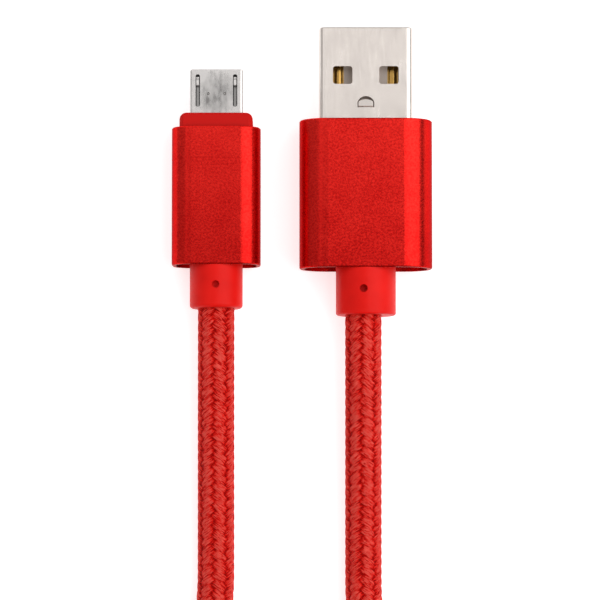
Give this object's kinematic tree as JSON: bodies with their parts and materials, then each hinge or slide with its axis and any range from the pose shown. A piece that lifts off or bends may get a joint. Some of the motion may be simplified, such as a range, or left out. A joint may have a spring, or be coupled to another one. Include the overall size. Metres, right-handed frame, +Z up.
{
  "type": "charging cable",
  "caption": "Braided charging cable with a USB-A plug and a micro-USB plug in smooth metal sleeves, its spare length tied in a hank.",
  "frame": {"origin": "bottom centre of the box round the two plugs, on the table they lie on", "axes": "+Y to the plug tips, +Z up from the table, +X to the right, towards the USB-A plug"},
  "size_m": [0.0464, 0.1857, 0.0125],
  "materials": {
    "nickel": "satin nickel plate",
    "black_plastic": "moulded black insulator",
    "pale_plastic": "moulded pale insulator",
    "gold": "thin gold plate",
    "spring_steel": "bright spring steel",
    "solder": "bright solder",
    "natural_mould": "milky inner mould",
    "red_plastic": "moulded, fine satin",
    "red_aluminium": "blasted and anodised red",
    "red_braid": "braided nylon",
    "strap": "woven hook-and-loop strap",
    "wire_red": "wire insulation",
    "wire_white": "wire insulation",
    "wire_green": "wire insulation",
    "wire_black": "wire insulation"
  },
  "bodies": {
    "cable": {"cable_hank": "red_braid", "hank_strap": "strap", "micro_cable_tail": "red_braid", "micro_contact_tails": "gold", "micro_inner_mould": "natural_mould", "micro_insulator": "black_plastic", "micro_lead": "red_braid", "micro_overmould": "red_plastic", "micro_shell": "nickel", "micro_sleeve": "red_aluminium", "micro_solder_joints": "solder", "micro_wire_black": "wire_black", "micro_wire_green": "wire_green", "micro_wire_red": "wire_red", "micro_wire_white": "wire_white", "usb_a_cable_tail": "red_braid", "usb_a_contact_data_minus": "gold", "usb_a_contact_data_plus": "gold", "usb_a_contact_ground": "gold", "usb_a_contact_vbus": "gold", "usb_a_inner_mould": "natural_mould", "usb_a_insulator": "pale_plastic", "usb_a_lead": "red_braid", "usb_a_overmould": "red_plastic", "usb_a_shell": "nickel", "usb_a_sleeve": "red_aluminium", "usb_a_solder_joints": "solder", "usb_a_wire_black": "wire_black", "usb_a_wire_green": "wire_green", "usb_a_wire_red": "wire_red", "usb_a_wire_white": "wire_white"},
    "micro_latch_left": {"micro_latch_left": "spring_steel"},
    "micro_latch_right": {"micro_latch_right": "spring_steel"},
    "micro_contact_1": {"micro_contact_1": "gold"},
    "micro_contact_2": {"micro_contact_2": "gold"},
    "micro_contact_3": {"micro_contact_3": "gold"},
    "micro_contact_4": {"micro_contact_4": "gold"},
    "micro_contact_5": {"micro_contact_5": "gold"}
  },
  "joints": [
    {"name": "micro_latch_left_press", "type": "hinge", "parent": "cable", "child": "micro_latch_left", "pos_m": [-0.01341, 0.0063, 0.00407], "axis": [-1, 0, 0], "range_deg": [0, 5], "stiffness_Nm_per_rad": 0.15},
    {"name": "micro_latch_right_press", "type": "hinge", "parent": "cable", "child": "micro_latch_right", "pos_m": [-0.00861, 0.0063, 0.00407], "axis": [-1, 0, 0], "range_deg": [0, 5], "stiffness_Nm_per_rad": 0.15},
    {"name": "micro_contact_1_press", "type": "hinge", "parent": "cable", "child": "micro_contact_1", "pos_m": [-0.01231, 0.0071, 0.00332], "axis": [-1, 0, 0], "range_deg": [0, 2.5], "stiffness_Nm_per_rad": 0.06},
    {"name": "micro_contact_2_press", "type": "hinge", "parent": "cable", "child": "micro_contact_2", "pos_m": [-0.01167, 0.0071, 0.00332], "axis": [-1, 0, 0], "range_deg": [0, 2.5], "stiffness_Nm_per_rad": 0.06},
    {"name": "micro_contact_3_press", "type": "hinge", "parent": "cable", "child": "micro_contact_3", "pos_m": [-0.01102, 0.0071, 0.00332], "axis": [-1, 0, 0], "range_deg": [0, 2.5], "stiffness_Nm_per_rad": 0.06},
    {"name": "micro_contact_4_press", "type": "hinge", "parent": "cable", "child": "micro_contact_4", "pos_m": [-0.01036, 0.0071, 0.00332], "axis": [-1, 0, 0], "range_deg": [0, 2.5], "stiffness_Nm_per_rad": 0.06},
    {"name": "micro_contact_5_press", "type": "hinge", "parent": "cable", "child": "micro_contact_5", "pos_m": [-0.00971, 0.0071, 0.00332], "axis": [-1, 0, 0], "range_deg": [0, 2.5], "stiffness_Nm_per_rad": 0.06}
  ]
}
